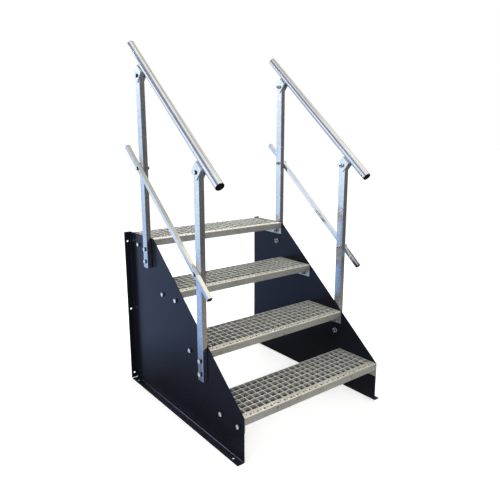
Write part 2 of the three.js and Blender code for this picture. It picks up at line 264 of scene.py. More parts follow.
# %% Galvanised steel
def galvanised(name, pale, dull, gloss, crystals, share, grit, metal=1.0):
    """Bath zinc. crystals is how many fit on a metre, share how far they set the colour."""
    zinc = Finish(name, "galvanised")
    bent = zinc.vector("MULTIPLY_ADD", zinc.noise(60.0), (0.006, 0.006, 0.006), zinc.place)
    cell = zinc.node("ShaderNodeTexVoronoi", {"Vector": bent, "Scale": crystals}, "Color")
    crystal = zinc.node("ShaderNodeSeparateColor", {"Color": cell}, "Red")
    cloud = zinc.cloud(7.0, 4.0)
    zinc.colour = zinc.blend(share * crystal + (1 - share) * cloud, dull, pale)
    zinc.feed(Base_Color=zinc.colour, Metallic=metal, Roughness=gloss + 0.04 * crystal + 0.05 * cloud,
              Normal=zinc.raised(zinc.noise(260.0, 3.0), grit, 0.15 * MM))
    print("Made", name)
    return zinc


post_zinc = galvanised("galvanised_post", pale=(0.84, 0.85, 0.86), dull=(0.58, 0.60, 0.64),
                       gloss=0.13, crystals=120.0, share=0.55, grit=0.16)
rail_zinc = galvanised("galvanised_rail", pale=(0.83, 0.84, 0.84), dull=(0.66, 0.67, 0.68),
                       gloss=0.08, crystals=120.0, share=0.45, grit=0.08)

# %% [markdown]
# The treads have been through the same bath, but zinc runs thick in all those corners and a dull grey
# film of zinc salts grows on it. Under such a film the metal is no longer a clean mirror, so the
# metallic share goes down. Shoes rub the film off again where they touch, and the pale colour given
# there is also a painted highlight for the tops that catch the light. One sum says where that is:
# the height modulo the rise of the stairs gives how far a point lies below its own tread's top, the
# same for all four treads. The colour fades with that depth to nearly black at the bottom, which is
# painted shade deep in the cells. The inner walls of the nosing's punched holes are painted dark
# brown as the shade inside them.

# %% Dull zinc of the treads, worn, with painted highlight and painted shade
def over_tread_top(zinc):
    """Height over the nearest tread top in metres, the same on every tread"""
    return (zinc.height() - (FIRST_TREAD_TOP - RISE / 2)) % RISE - RISE / 2


nosing_zinc = galvanised("galvanised_nosing", pale=(0.72, 0.72, 0.69), dull=(0.50, 0.51, 0.49),
                         gloss=0.26, crystals=70.0, share=0.35, grit=0.16, metal=0.55)
# Shoe wear and a painted warm highlight: the top of the nosing is blended towards cream.
wear_and_highlight = nosing_zinc.steps(over_tread_top(nosing_zinc), -3 * MM, -1 * MM)
nosing_zinc.feed(Base_Color=nosing_zinc.blend(0.7 * wear_and_highlight, nosing_zinc.colour, (0.94, 0.90, 0.76)))

grating_zinc = Finish("galvanised_grating", "grating")
level, cloud = over_tread_top(grating_zinc), grating_zinc.cloud(9.0, 4.0)
film_and_shade = grating_zinc.blend(cloud, (0.45, 0.46, 0.43), (0.57, 0.57, 0.52))
# Painted shade: the cell walls darken to nearly black deeper than 9 mm below the top.
film_and_shade = grating_zinc.blend(grating_zinc.steps(level, -18 * MM, -9 * MM), (0.06, 0.06, 0.055), film_and_shade)
bright = grating_zinc.blend(cloud, (0.94, 0.95, 0.92), (1.0, 0.98, 0.92))
# Wear and a painted highlight: the bars' tops and the top edge of their sides are pale.
wear_and_highlight = grating_zinc.steps(level, -1.6 * MM, -0.5 * MM)
grating_zinc.feed(Base_Color=grating_zinc.blend(wear_and_highlight, film_and_shade, bright), Metallic=0.32 - 0.10 * wear_and_highlight,
                  Roughness=0.46 - 0.14 * wear_and_highlight + 0.05 * cloud,
                  Normal=grating_zinc.raised(grating_zinc.noise(260.0, 3.0), 0.08, 0.15 * MM))

# Painted shade: the walls of the punched holes are dark brown.
punched_edge = Finish("punched_edge")
shade_mottle = punched_edge.noise(240.0)
punched_edge.feed(Base_Color=punched_edge.blend(shade_mottle, (0.030, 0.022, 0.016), (0.090, 0.062, 0.042)),
                  Roughness=0.55 + 0.2 * shade_mottle)
print("Made", grating_zinc.material.name, "and", punched_edge.material.name)

# %% [markdown]
# Bolts are plated in a thin bright coat of zinc, smoother than the bath gives, with a faint blue
# tint. Their threads are dark oily steel, and the flats of their hexagons take the same dark finish as
# painted shade.
# Plugs are moulded in black plastic with a fine grain that comes from the mould.

# %% Bright zinc, oily steel with painted shade for the flats, and black plastic
bolt_zinc = Finish("bright_zinc", "zinc")
tint = bolt_zinc.cloud(90.0, spread=0.15)
bolt_zinc.feed(Base_Color=bolt_zinc.blend(tint, (0.90, 0.94, 1.0), (0.96, 0.97, 0.99)), Metallic=0.35,
               Roughness=0.16 + 0.08 * tint,
               Normal=bolt_zinc.raised(bolt_zinc.noise(900.0), 0.06, 0.05 * MM))

# Oily steel for the threads, and painted shade on the hexagons' flats.
oily_steel_and_flat_shade = Finish("oily_thread")
oil_and_shade_mottle = oily_steel_and_flat_shade.noise(300.0)
oily_steel_and_flat_shade.feed(Base_Color=oily_steel_and_flat_shade.blend(oil_and_shade_mottle, (0.02, 0.022, 0.028), (0.07, 0.07, 0.08)),
                Roughness=0.45 + 0.12 * oil_and_shade_mottle, Metallic=0.4)

plastic = Finish("black_plastic", "plastic")
grain = plastic.noise(1400.0, 1.0)
plastic.feed(Base_Color=plastic.blend(grain, (0.0016, 0.0016, 0.0018), (0.0030, 0.0030, 0.0033)),
             Roughness=0.42 + 0.12 * grain, Normal=plastic.raised(grain, 0.15, 0.1 * MM),
             Specular_IOR_Level=0.16)
print("Made", bolt_zinc.material.name, oily_steel_and_flat_shade.material.name, "and", plastic.material.name)

# %% [markdown]
# ## From outlines to solids
#
# Nearly everything here is a section that stays the same along a line: tubes, bars, shanks, hexagons.
# A loft does all of them. It takes rings of points, each ring as long as the next, and joins them with
# faces. If the last ring joins the first, the result is a tube with a wall; if not, both ends are
# closed. Blender's own Screw or Skin modifiers could do parts of this, but rings show plainly where
# each chamfer goes.

# %% Loft rings of points
import bmesh
from mathutils import Matrix, Vector


def cleaned(shape):
    """Makes points at one place a single point, and turns the faces outwards"""
    bmesh.ops.remove_doubles(shape, verts=shape.verts, dist=0.001 * MM)
    bmesh.ops.recalc_face_normals(shape, faces=shape.faces)


def mesh_of(shape):
    mesh = bpy.data.meshes.new("mesh")
    shape.to_mesh(mesh)
    shape.free()
    return mesh


def loft(rings, closed=False):
    shape = bmesh.new()
    rows = [[shape.verts.new(point) for point in ring] for ring in rings]
    count = len(rows[0])
    for low, high in zip(rows, rows[1:] + rows[:1] if closed else rows[1:]):
        for i in range(count):
            j = (i + 1) % count
            shape.faces.new((low[i], low[j], high[j], high[i]))
    if not closed:
        shape.faces.new(rows[0][::-1])
        shape.faces.new(rows[-1])
    cleaned(shape)
    return mesh_of(shape)


def circle(radius, sides=64):
    turns = [2 * math.pi * i / sides for i in range(sides)]
    return [(radius * math.cos(t), radius * math.sin(t)) for t in turns]


def quarter(steps):
    """Angles from 0 to a quarter turn"""
    return [math.pi / 2 * k / steps for k in range(steps + 1)]


def rounded_box(width, height, radius):
    """Points round a rectangle with round corners"""
    points = []
    for corner, (right, up) in enumerate(((1, 1), (-1, 1), (-1, -1), (1, -1))):
        x, y = right * (width / 2 - radius), up * (height / 2 - radius)
        for t in quarter(6):
            t += corner * math.pi / 2
            points.append((x + radius * math.cos(t), y + radius * math.sin(t)))
    return points


def at_height(points, z):
    return [Vector((x, y, z)) for x, y in points]


print("A circle has", len(circle(1)), "points, a rounded box", len(rounded_box(4, 4, 1)))

# %% [markdown]
# A piece is finished in the same few steps each time. Its mesh is moved to its place, so that the
# object itself stays at the origin. Normals are weighted by face area: wide flats stay flat in the
# light and only the narrow roundings shade smoothly. A modifier works on an object, so a mesh gets a
# draft object for it, and what Blender evaluates is kept as a plain mesh. Then the piece is told which
# CAD node it stands for, and that it rides on the frame's one body, `root`.

# %% Turn meshes into finished pieces
def object_of(mesh, name="draft"):
    thing = bpy.data.objects.new(name, mesh)
    bpy.context.collection.objects.link(thing)
    return thing


def baked(draft):
    """The plain mesh of a draft object after its modifiers"""
    graph = bpy.context.evaluated_depsgraph_get()
    mesh = bpy.data.meshes.new_from_object(draft.evaluated_get(graph), depsgraph=graph)
    bpy.data.objects.remove(draft)
    return mesh


def with_modifiers(mesh, *steps):
    """The mesh after modifiers, each given as its type and its settings"""
    draft = object_of(mesh)
    for kind, settings in steps:
        modifier = draft.modifiers.new(kind.title(), kind)
        for name, value in settings.items():
            setattr(modifier, name, value)
    return baked(draft)


def edge_bevel(width):
    """A bevel for the sharp edges only"""
    sharp = {"limit_method": "ANGLE", "angle_limit": math.radians(40)}
    return "BEVEL", {"width": width, "segments": 2, **sharp}


def joined(meshes):
    """Several meshes as one. Each is given alone or with the matrix that places it."""
    shape = bmesh.new()
    for mesh in meshes:
        mesh, matrix = mesh if isinstance(mesh, tuple) else (mesh, Matrix())
        part = mesh.copy()
        part.transform(matrix)
        shape.from_mesh(part)
        bpy.data.meshes.remove(part)
    return mesh_of(shape)


def piece(node, ending, mesh, finishes, place):
    """A finished piece for one CAD node. The faces' material numbers pick from its finishes."""
    mesh = mesh.copy()
    mesh.transform(place)
    if place.is_negative:
        mesh.flip_normals()
    for finish in finishes:
        mesh.materials.append(finish.material)
    mesh.shade_smooth()
    mesh.set_sharp_from_angle(angle=math.radians(38))
    mesh = with_modifiers(mesh, ("WEIGHTED_NORMAL", {"keep_sharp": True}))
    mesh.name = f"{node}_{ending}"
    thing = object_of(mesh, mesh.name)
    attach(thing, "root")
    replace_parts(thing, node)
    return thing


def box_of(mesh):
    """Lowest and highest corner of a mesh"""
    corners = [vertex.co for vertex in mesh.vertices]
    return [[pick(corner[i] for corner in corners) for i in range(3)] for pick in (min, max)]


print("Helpers for finished pieces are ready")

# %% [markdown]
# ## Sheet metal
#
# A cheek is one sheet of 3 mm steel, cut to an outline and bent outwards twice: at the floor for a
# flange to stand on, and at the rear for a flange to screw to what the stairs lead up to. It could be
# modelled as a solid from the start. Real sheet is easier as a surface without thickness, which
# Solidify then makes 3 mm thick, because both sides of a bend come out right by themselves. A
# triangulation that knows about holes fills each flat outline.

# %% Fill a flat outline that has holes
from mathutils.geometry import delaunay_2d_cdt


def rectangle(low, high):
    return [low, (high[0], low[1]), high, (low[0], high[1])]


def hole_at(x, y, radius, sides=24):
    return [(x + u, y + v) for u, v in circle(radius, sides)]


def filled(outline, holes=()):
    """Points and triangles that fill an outline and leave its holes open"""
    points, loops = [], []
    for loop in [outline] + [hole[::-1] for hole in holes]:
        loops.append(list(range(len(points), len(points) + len(loop))))
        points += [Vector(point) for point in loop]
    spots, _, triangles, *_ = delaunay_2d_cdt(points, [], loops, 2, 1e-7)
    return spots, triangles


def add_flat(shape, outline, holes, to_space):
    """Adds a filled outline to a bmesh. to_space turns its two numbers into a place."""
    spots, triangles = filled(outline, holes)
    verts = [shape.verts.new(to_space(*spot)) for spot in spots]
    for triangle in triangles:
        shape.faces.new([verts[i] for i in triangle])


def add_strip(shape, rows):
    """Adds faces between rows of points that lie side by side"""
    rows = [[shape.verts.new(point) for point in row] for row in rows]
    for low, high in zip(rows, rows[1:]):
        for i in range(len(low) - 1):
            shape.faces.new((low[i], low[i + 1], high[i + 1], high[i]))


def sheet(shape, thickness, facing, edge=0.4 * MM):
    """The surface as sheet metal that lies behind it. facing is where its largest face looks."""
    cleaned(shape)
    largest = max(shape.faces, key=lambda face: face.calc_area())
    if largest.normal.dot(Vector(facing)) < 0:
        bmesh.ops.reverse_faces(shape, faces=shape.faces)
    bmesh.ops.dissolve_limit(shape, angle_limit=math.radians(0.1), verts=shape.verts, edges=shape.edges)
    solid = {"thickness": thickness, "offset": -1.0, "use_even_offset": True}
    return with_modifiers(mesh_of(shape), ("SOLIDIFY", solid), edge_bevel(edge))


plate = filled(rectangle((0, 0), (4, 4)), [hole_at(2, 2, 1)])
print("A plate with one hole has", len(plate[1]), "triangles")

# %% [markdown]
# The outline of the cheek's large face is worked out in Y and Z. Where a bend starts, the outline has
# a point of its own, so that the strip of the bend shares its ends. The relief is the small notch that
# keeps the two bends from tearing each other at the corner. Bolt holes are cut for every tread and
# post, and the flanges have the screw holes of the real ones. One half is made, and mirrored for the
# other side.

# %% Make the cheeks
BEND, FLANGE, RELIEF = 6 * MM, 32 * MM, 2.5 * MM
BOLT_HOLE, SCREW_HOLE = 6.5 * MM, 5 * MM
FLOOR_SCREW_MARGIN = 50 * MM
REAR_SCREW_HEIGHTS = [30 * MM, 390 * MM, 750 * MM]
MIRROR = {"left": Matrix.Scale(-1, 4, (1, 0, 0)), "right": Matrix()}


def tread_bolts():
    """Tread number, row, Y and Z of each bolt that holds the treads on one side"""
    for i in range(TREAD_COUNT):
        y, z = tread_edge(i)
        for row, setback in BOLT_ROWS.items():
            yield i, row, y + setback, z - BOLT_DROP


def cheek_surface():
    shape = bmesh.new()
    x, rear, floor_end = CHEEK_INNER_X, CHEEK_DEPTH / 2, CHEEK_DEPTH / 2 - BEND - RELIEF
    outline = [(FRONT_Y, BEND), (floor_end, BEND), (rear - BEND, BEND), (rear - BEND, CHEEK_HEIGHT),
               (tread_edge(TREAD_COUNT - 1)[0], CHEEK_HEIGHT), tread_edge(0)]
    spots = [(y, z) for _, _, y, z in tread_bolts()]
    spots += [(spot["y"], spot["lower_bolt"]) for spot in POSTS.values()]
    add_flat(shape, outline, [hole_at(*spot, BOLT_HOLE) for spot in spots], lambda y, z: (x, y, z))

    bend = [(x + BEND - BEND * math.cos(t), BEND * math.sin(t)) for t in quarter(8)]
    add_strip(shape, [[(u, y, BEND - v) for y in (FRONT_Y, floor_end)] for u, v in bend])
    add_strip(shape, [[(u, rear - BEND + v, z) for z in (RELIEF, BEND, CHEEK_HEIGHT)] for u, v in bend])

    inner, outer, middle = x + BEND, x + CHEEK_THICKNESS + FLANGE, CHEEK_OUTER_X + FLANGE / 2
    ends = FRONT_Y + FLOOR_SCREW_MARGIN, rear - FLOOR_SCREW_MARGIN
    add_flat(shape, rectangle((inner, FRONT_Y), (outer, floor_end)),
             [hole_at(middle, y, SCREW_HOLE) for y in ends], lambda u, y: (u, y, 0))
    add_flat(shape, rectangle((inner, RELIEF), (outer, CHEEK_HEIGHT)) + [(inner, BEND)],
             [hole_at(middle, z, SCREW_HOLE) for z in REAR_SCREW_HEIGHTS], lambda u, z: (u, rear, z))
    return shape


cheek_mesh = sheet(cheek_surface(), CHEEK_THICKNESS, (-1, 0, 0))
for side in SIDES:
    piece(f"cheek_{side}", "sheet", cheek_mesh, [coat], MIRROR[side])
print("Cheek:", len(cheek_mesh.polygons), "faces")

# %% [markdown]
# ## Grating treads
#
# A grating tread is a welded frame of bars. Bearing bars on edge run across the stairs and carry the
# load. Thinner cross bars are pressed into notches in them and lock the mesh. This is a rule with a
# few numbers, so Geometry Nodes make it: one bar is drawn as a rounded section swept along a line,
# and copies of it are set out on a row of points. Editing the tree's inputs gives any other mesh.
# First comes what every such tree needs: named inputs, rows of copies, an end in real geometry, and a
# way to run it on a mesh.

# %% A base for trees that make shapes
class ShapeTree(Board):
    """A Geometry Nodes tree. Its inputs are given here with their types, and _ for a space."""

    def __init__(self, name, **inputs):
        super().__init__(bpy.data.node_groups.new(name, "GeometryNodeTree"))
        rim = self.tree.interface
        for label, kind in {"Geometry": "Geometry", **inputs, "Finish": "Material"}.items():
            rim.new_socket(label.replace("_", " "), in_out="INPUT", socket_type="NodeSocket" + kind)
        rim.new_socket("Geometry", in_out="OUTPUT", socket_type="NodeSocketGeometry")
        entry = self.tree.nodes.new("NodeGroupInput")
        self.given = {socket.name.replace(" ", "_"): Wire(self, socket) for socket in entry.outputs[:-1]}

    def point(self, **axes):
        return self.node("ShaderNodeCombineXYZ", axes)

    def row(self, count, start, step, geometry):
        """Copies of a shape on a row of points"""
        line = self.node("GeometryNodeMeshLine", {"Count": count, "Start Location": start, "Offset": step})
        return self.node("GeometryNodeInstanceOnPoints", {"Points": line, "Instance": geometry})

    def close(self, geometry):
        """Ends the tree in real geometry with a material"""
        real = self.node("GeometryNodeRealizeInstances", {"Geometry": geometry})
        painted = self.node("GeometryNodeSetMaterial",
                            {"Geometry": real, "Material": self.given["Finish"]})
        self.fill(self.tree.nodes.new("NodeGroupOutput"), {"Geometry": painted})
        print("Made the tree", self.tree.name, "with", len(self.given), "inputs")

    def grow(self, mesh, **values):
        """The plain mesh that the tree makes of a mesh"""
        draft = object_of(mesh)
        modifier = draft.modifiers.new(self.tree.name, "NODES")
        modifier.node_group = self.tree
        for item in self.tree.interface.items_tree:
            key = item.name.replace(" ", "_")
            if item.in_out == "INPUT" and key in values:
                modifier[item.identifier] = values[key]
        result = baked(draft)
        for face in result.polygons:
            face.material_index = 0
        return result


print("ShapeTree is ready")

# %% [markdown]
# Bearing bars first: one more bar than there are cells, the first just behind the nosing. Cross bars
# are one fewer than the cells, because the end plates close the outer cells. They start under the
# nosing and end in the last bearing bar.

# %% The tree of the grating
grating = ShapeTree("grating_mesh", Length="Float", Mesh_pitch="Float", Cells_across="Int",
                    Cells_deep="Int", Nosing_width="Float", Bearing_thickness="Float",
                    Bearing_height="Float", Cross_thickness="Float", Cross_height="Float",
                    Edge_radius="Float")


def swept_bar(kind, start, end):
    """A bar with rounded edges whose top lies at height 0"""
    height = grating.given[kind + "_height"]
    section = grating.node("GeometryNodeCurvePrimitiveQuadrilateral",
                           {"Width": grating.given[kind + "_thickness"], "Height": height})
    soft = grating.node("GeometryNodeFilletCurve", mode="POLY",
                        sockets={"Curve": section, "Count": 2, "Radius": grating.given["Edge_radius"]})
    path = grating.node("GeometryNodeCurvePrimitiveLine", {"Start": start, "End": end})
    bar = grating.node("GeometryNodeCurveToMesh",
                       {"Curve": path, "Profile Curve": soft, "Fill Caps": True})
    lowered = grating.point(Z=-0.5 * height)
    return grating.node("GeometryNodeTransform", {"Geometry": bar, "Translation": lowered})


half, pitch = 0.5 * grating.given["Length"], grating.given["Mesh_pitch"]
across, deep = grating.given["Cells_across"], grating.given["Cells_deep"]
nosing_width = grating.given["Nosing_width"]
bearings = grating.row(deep + 1, grating.point(Y=nosing_width), grating.point(Y=pitch),
                       swept_bar("Bearing", grating.point(X=-1 * half), grating.point(X=half)))
crosses = grating.row(across - 1, grating.point(X=pitch - 0.5 * (pitch * across), Y=nosing_width),
                      grating.point(X=pitch), swept_bar("Cross", (0, 0, 0), grating.point(Y=pitch * deep)))
grating.close(grating.node("GeometryNodeJoinGeometry", {"Geometry": [bearings, crosses]}))

# %% [markdown]
# The tree needs no mesh to start from, so it runs on an empty one. Gratings of this kind have cells
# of 33.3 mm, so the tread's length has 24 of them.

# %% Grow the grating
CELLS_ACROSS, CELLS_DEEP = 24, 6
MESH_PITCH = TREAD_LENGTH / CELLS_ACROSS
NOSING_WIDTH = MESH_PITCH
BEARING_THICKNESS, BEARING_HEIGHT = 3 * MM, 30 * MM
END_PLATE, END_PLATE_HEIGHT = 3 * MM, 65 * MM
grating_mesh = grating.grow(bpy.data.meshes.new("empty"), Length=TREAD_LENGTH - 2 * END_PLATE,
                            Mesh_pitch=MESH_PITCH, Cells_across=CELLS_ACROSS, Cells_deep=CELLS_DEEP,
                            Nosing_width=NOSING_WIDTH, Bearing_thickness=BEARING_THICKNESS,
                            Bearing_height=BEARING_HEIGHT, Cross_thickness=2.5 * MM, Cross_height=10 * MM,
                            Edge_radius=0.5 * MM, Finish=grating_zinc.material)
print("Grating:", len(grating_mesh.polygons), "faces, size in mm",
      [round((high - low) / MM, 1) for low, high in zip(*box_of(grating_mesh))])

# %% [markdown]
# The nosing is the front edge that a foot meets first. It is an angle of sheet steel with a row of
# punched holes for grip: large ones near the edge, and small ones behind and between them. Like the
# cheek it is a surface with a bend, made thick by Solidify. The holes' spacing is not the mesh's: this
# strip is bought by the metre and cut to length.

# %% Nosing with its holes
HOLE_PITCH, HOLE_COUNT = 36 * MM, 21
GRIP_HOLE, GRIP_Y, GRIP_SIDES = 5 * MM, 12.7 * MM, 20
SMALL_HOLE, SMALL_Y, SMALL_SIDES = 3 * MM, 17.6 * MM, 12
NOSING_THICKNESS, NOSING_BEND, NOSING_HEIGHT = 3 * MM, 3.5 * MM, 32 * MM
NOSING_END = TREAD_LENGTH / 2 - END_PLATE


def hole_row(count, y):
    """Places of holes in a row across the nosing's middle"""
    return [((k - (count - 1) / 2) * HOLE_PITCH, y) for k in range(count)]


def nosing_surface():
    shape = bmesh.new()
    holes = [hole_at(x, y, GRIP_HOLE, GRIP_SIDES) for x, y in hole_row(HOLE_COUNT, GRIP_Y)]
    holes += [hole_at(x, y, SMALL_HOLE, SMALL_SIDES) for x, y in hole_row(HOLE_COUNT + 1, SMALL_Y)]
    add_flat(shape, rectangle((-NOSING_END, NOSING_BEND), (NOSING_END, NOSING_WIDTH)), holes,
             lambda x, y: (x, y, 0))
    edge = [(NOSING_BEND - NOSING_BEND * math.sin(t), NOSING_BEND * math.cos(t) - NOSING_BEND)
            for t in quarter(6)] + [(0, -NOSING_HEIGHT)]
    add_strip(shape, [[(x, y, z) for x in (-NOSING_END, NOSING_END)] for y, z in edge])
    return shape


nosing_mesh = sheet(nosing_surface(), NOSING_THICKNESS, (0, 0, 1), edge=0.3 * MM)
print("Nosing:", len(nosing_mesh.polygons), "faces")

# %% [markdown]
# Every grip hole has a low collar where the punch pushed the metal up, which catches the light as a
# small bright rim. Each row of copies is a Geometry Nodes job again: one collar, turned like a ring,
# on a row of points. The second tree below makes weld beads. It follows each edge of the mesh that it
# is given with a round bead whose radius ripples, as a hand-held torch leaves it.

# %% Trees for rows of rings and for weld beads
copies = ShapeTree("row_of_copies", Count="Int", Start="Vector", Step="Vector")
copies.close(copies.row(*(copies.given[name] for name in ("Count", "Start", "Step", "Geometry"))))

welds = ShapeTree("weld_beads", Bead_radius="Float", Ripple_pitch="Float", Ripple_depth="Float",
                  Seed="Int")
paths = welds.node("GeometryNodeMeshToCurve", {"Mesh": welds.given["Geometry"]})
points = welds.node("GeometryNodeResampleCurve", mode="LENGTH",
                    sockets={"Curve": paths, "Length": 0.5 * welds.given["Ripple_pitch"]})
order = welds.node("GeometryNodeInputIndex")
wave = welds.node("ShaderNodeMath", {0: math.pi * order}, operation="COSINE")
chance = welds.node("FunctionNodeRandomValue", {2: -0.5, 3: 0.5, "Seed": welds.given["Seed"]}, output=1)
radius = welds.given["Bead_radius"] * (1 + welds.given["Ripple_depth"] * (wave + chance))
ring = welds.node("GeometryNodeCurvePrimitiveCircle", {"Resolution": 8, "Radius": 1.0})
bead = {"Curve": points, "Profile Curve": ring, "Fill Caps": True, "Scale": radius}
welds.close(welds.node("GeometryNodeCurveToMesh", bead))


def weld_beads(lines, finish, radius=1.6 * MM, seed=3):
    """Beads along straight lines, each given by its two ends"""
    mesh = bpy.data.meshes.new("weld lines")
    ends = [point for line in lines for point in line]
    mesh.from_pydata(ends, [(i, i + 1) for i in range(0, len(ends), 2)], [])
    return welds.grow(mesh, Bead_radius=radius, Ripple_pitch=2.4 * MM, Ripple_depth=0.05, Seed=seed,
                      Finish=finish.material)


# %% [markdown]
# With the parts of a tread ready, they are joined: the mesh of bars, the nosing, its collars, an end
# plate at each side with two bolt holes, and the welds between bars and plates. A face's material
# number says which finish it gets: 0 for the grating, 1 for nosing, plates and welds, and 2 for the
# walls of the punched holes. The four treads are the same mesh at four heights.

# %% Put the treads together
TREAD_DEPTH = NOSING_WIDTH + CELLS_DEEP * MESH_PITCH + BEARING_THICKNESS / 2
COLLAR_PROFILE = [(4.9, -0.4), (6.3, -0.4), (6.1, 0.1), (5.7, 0.5), (5.35, 0.6), (5.0, 0.4)]
WELD_TOP, WELD_BOTTOM, NOSING_WELD = -5 * MM, -27 * MM, -3.4 * MM
WELD_BESIDE_BAR, WELD_MARGIN, WELD_INSET = 1.7 * MM, 4 * MM, 0.2 * MM


def end_plate_surface():
    shape = bmesh.new()
    add_flat(shape, rectangle((0, -END_PLATE_HEIGHT), (TREAD_DEPTH, 0)),
             [hole_at(y, -BOLT_DROP, BOLT_HOLE) for y in BOLT_ROWS.values()],
             lambda y, z: (TREAD_LENGTH / 2, y, z))
    return shape


def tread_welds(x):
    """Upright beads where the bearing bars meet an end plate, and one along the nosing"""
    for k in range(CELLS_DEEP + 1):
        y = NOSING_WIDTH + k * MESH_PITCH - WELD_BESIDE_BAR
        yield [(x, y, WELD_TOP), (x, y, WELD_BOTTOM)]
    yield [(x, y, NOSING_WELD) for y in (WELD_MARGIN, NOSING_WIDTH - WELD_MARGIN)]


def is_hole_wall(face):
    """Whether a face is steep and lies inside the nosing's outer edges"""
    x, y, z = face.center
    behind_bend, before_rear = 5 * MM, NOSING_WIDTH - 2 * MM
    return abs(face.normal.z) < 0.6 and behind_bend < y < before_rear and abs(x) < NOSING_END - END_PLATE


collar = loft([at_height(circle(r * MM, GRIP_SIDES), z * MM) for r, z in COLLAR_PROFILE], closed=True)
collars = copies.grow(collar, Count=HOLE_COUNT, Start=hole_row(HOLE_COUNT, GRIP_Y)[0] + (0,),
                      Step=(HOLE_PITCH, 0, 0), Finish=nosing_zinc.material)
punched_strip = joined([nosing_mesh, collars])
for face in punched_strip.polygons:
    face.material_index = int(is_hole_wall(face))

end_plate = sheet(end_plate_surface(), END_PLATE, (1, 0, 0))
other_end = Matrix.Rotation(math.pi, 4, "Z") @ Matrix.Translation((0, -TREAD_DEPTH, 0))
weld_lines = [line for sign in SIDES.values() for line in tread_welds(sign * (NOSING_END - WELD_INSET))]
plain_parts = joined([punched_strip, end_plate, (end_plate, other_end),
                      weld_beads(weld_lines, nosing_zinc)])
for face in plain_parts.polygons:
    face.material_index += 1
tread_mesh = joined([grating_mesh, plain_parts])
for i in range(TREAD_COUNT):
    piece(f"tread_{i + 1}", "welded", tread_mesh, [grating_zinc, nosing_zinc, punched_edge],
          Matrix.Translation((0, *tread_edge(i))))
print("Tread:", len(tread_mesh.polygons), "faces")

# %% [markdown]
# ## Tubes
#
# Posts, handrails and knee rails are cut from tube. Each section is drawn as a function of its inset,
# the distance in from the outer surface. The same function then gives the outer ring, the inner ring
# one wall further in, and the small chamfers where the saw cut was cleaned. A cylinder with Solidify
# would be a tube as well, but its ends would need their chamfers from one more modifier.

# %% Cut tube to length
def box_section(width, depth, corner, least):
    """The outline of a square tube as a function of its inset. least is the sharpest corner inside."""
    return lambda inset: rounded_box(width - 2 * inset, depth - 2 * inset, max(corner - inset, least))


def tube(section, wall, length, chamfer=0.4 * MM):
    """A tube along +Z from height 0"""
    rings = [(chamfer, 0), (0, chamfer), (0, length - chamfer), (chamfer, length),
             (wall - chamfer, length), (wall, length - chamfer), (wall, chamfer), (wall - chamfer, 0)]
    return loft([at_height(section(inset), z) for inset, z in rings], closed=True)


post_mesh = tube(box_section(POST_WIDTH, POST_DEPTH, 3 * MM, 0.6 * MM), 2 * MM, POST_LENGTH)
for side, sign in SIDES.items():
    for where, spot in POSTS.items():
        piece(f"post_{side}_{where}", "tube", post_mesh, [post_zinc],
              Matrix.Translation((sign * POST_CENTRE_X, spot["y"], spot["bottom"])))
print("Post:", len(post_mesh.polygons), "faces")

# %% [markdown]
# The rails lie along the slope of the flight. A matrix describes that slope once: its Z runs up the
# slope and its Y points down and away. Everything on a rail is placed in this frame, as a fitter would
# measure along the tube. The handrail lies straight over the posts, and the knee rail outside them.

# %% Handrails and knee rails
SADDLE_DROP, SADDLE_BOLT_MARGIN, KNEE_BOLT_HEIGHT = 58 * MM, 25 * MM, 470 * MM
HANDRAIL_RADIUS, KNEE_SIZE = 19 * MM, 20 * MM
saddle_bolt_z = POSTS["front"]["bottom"] + POST_LENGTH - SADDLE_BOLT_MARGIN
RAILS = {
    "handrail": {"x": POST_CENTRE_X, "z": saddle_bolt_z + SADDLE_DROP / math.cos(PITCH),
                 "low": -188 * MM, "length": 900 * MM, "wall": 2.5 * MM,
                 "section": lambda inset: circle(HANDRAIL_RADIUS - inset)},
    "knee_rail": {"x": POST_OUTER_X + SEAT_GAP + KNEE_SIZE / 2,
                  "z": POSTS["front"]["bottom"] + KNEE_BOLT_HEIGHT,
                  "low": -128 * MM, "length": 890 * MM, "wall": 2 * MM,
                  "section": box_section(KNEE_SIZE, KNEE_SIZE, 2.2 * MM, 0.3 * MM)},
}


def slope_frame(rail, sign):
    """The frame of a rail, with its origin beside the front post"""
    start = Matrix.Translation((sign * RAILS[rail]["x"], POSTS["front"]["y"], RAILS[rail]["z"]))
    return start @ Matrix.Rotation(PITCH - math.pi / 2, 4, "X")


def along(distance):
    return Matrix.Translation((0, 0, distance))


rail_meshes = {rail: tube(m["section"], m["wall"], m["length"]) for rail, m in RAILS.items()}
for side, sign in SIDES.items():
    for rail, mesh in rail_meshes.items():
        place = slope_frame(rail, sign) @ along(RAILS[rail]["low"])
        piece(f"{rail}_{side}", "tube", mesh, [rail_zinc], place)
print("Rails:", {rail: len(mesh.polygons) for rail, mesh in rail_meshes.items()}, "faces")

# %% [markdown]
# Black plugs close the rails' ends. Each has a softly crowned cap that covers the tube's wall and a
# stem inside. The round stem has two thin ribs that grip. They can't be seen once it is in, but the
# stem gives the open edge its depth. A bevelled disc would do from afar, but its top would be flat,
# and the crown is what catches the light. A profile lists widths and heights in millimetres, from the
# stem's inner end to the middle of the cap.

# %% Plugs
def round_plug():
    stem, rib, cap = 15.9, 16.2, 19
    profile = [(2, -14), (14.8, -14), (stem, -13)]
    for z in (-9.4, -4.4):
        profile += [(stem, z - 0.6), (rib, z), (stem, z + 0.6)]
    profile += [(stem, 0.3), (cap - 0.3, 0.3), (cap, 0.6), (cap, 1.7),
                (18.6, 2.35), (17.5, 2.75), (11, 2.92), (4, 3.0)]
    return loft([at_height(circle(r * MM, 48), z * MM) for r, z in profile])


